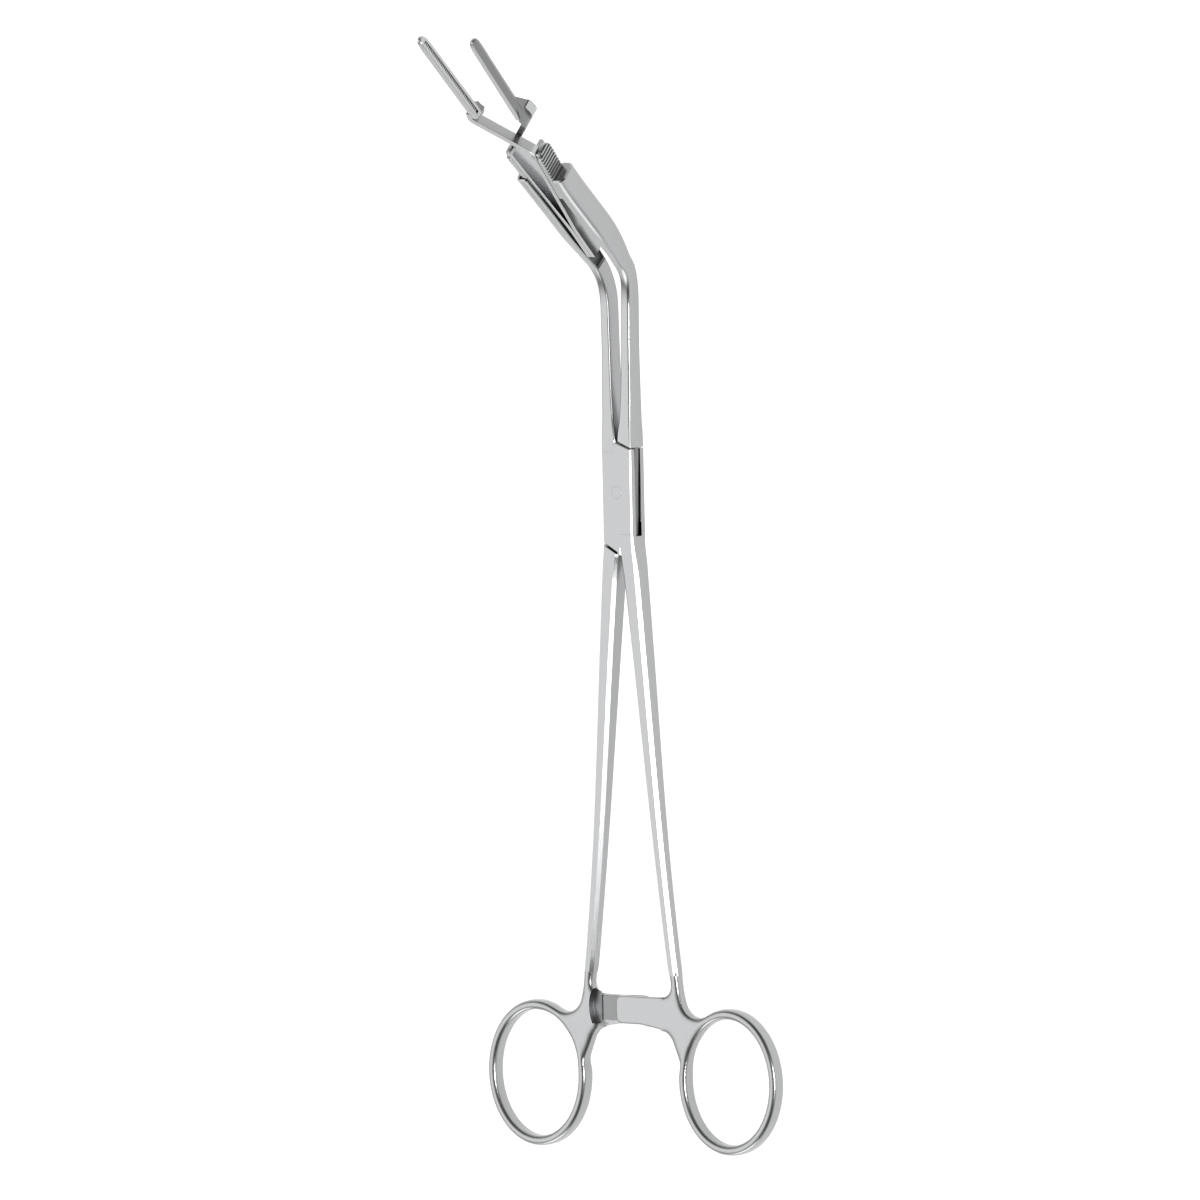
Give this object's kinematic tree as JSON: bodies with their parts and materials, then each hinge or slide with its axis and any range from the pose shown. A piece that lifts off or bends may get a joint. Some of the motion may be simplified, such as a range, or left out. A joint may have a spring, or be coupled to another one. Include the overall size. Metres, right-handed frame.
{
  "type": "bulldog clamp applier",
  "caption": "Ring-handled bulldog clamp applier with a box lock, ratchet bars and angled channel jaws that hold a small cross-action vessel clamp open.",
  "frame": {"origin": "box-lock pin axis in the plane of the box's back face", "axes": "+Y along the instrument towards the jaws, +X across the handles in the plane they open in, +Z out of the box's front face, the side the jaws bend to"},
  "size_m": [0.0856, 0.2667, 0.0661],
  "materials": {
    "forged_steel": "satin stainless, rings and box lightly polished",
    "pin_steel": "ground flush with the box",
    "spring_steel": "polished spring strip",
    "blade_steel": "fine satin",
    "plate_steel": "satin with cross ribs"
  },
  "bodies": {
    "box_half": {"box_half": "forged_steel", "box_lock_pin": "pin_steel"},
    "tongue_half": {"tongue_half": "forged_steel"},
    "clamp_back": {"clamp_back_arm": "spring_steel", "back_jaw_blade": "blade_steel", "back_finger_plate": "plate_steel"},
    "clamp_front": {"clamp_front_arm": "spring_steel", "front_jaw_blade": "blade_steel", "front_finger_plate": "plate_steel"}
  },
  "joints": [
    {"name": "box_lock", "type": "hinge", "parent": "box_half", "child": "tongue_half", "pos_m": [0, 0, 0.0027], "axis": [0, 0, -1], "range_deg": [0, 15]},
    {"name": "clamp_slide_off", "type": "slide", "parent": "box_half", "child": "clamp_back", "axis": [0, 0.7071, 0.7071], "range_m": [0, 0.045]},
    {"name": "clamp_flex", "type": "hinge", "parent": "clamp_back", "child": "clamp_front", "pos_m": [-0.0007, 0.05764, 0.01034], "axis": [0, 0.7071, -0.7071], "range_deg": [0, 10.4]}
  ],
  "couplings": [
    {"joint": "clamp_flex", "follows": "box_lock", "ratio": 0.69}
  ]
}
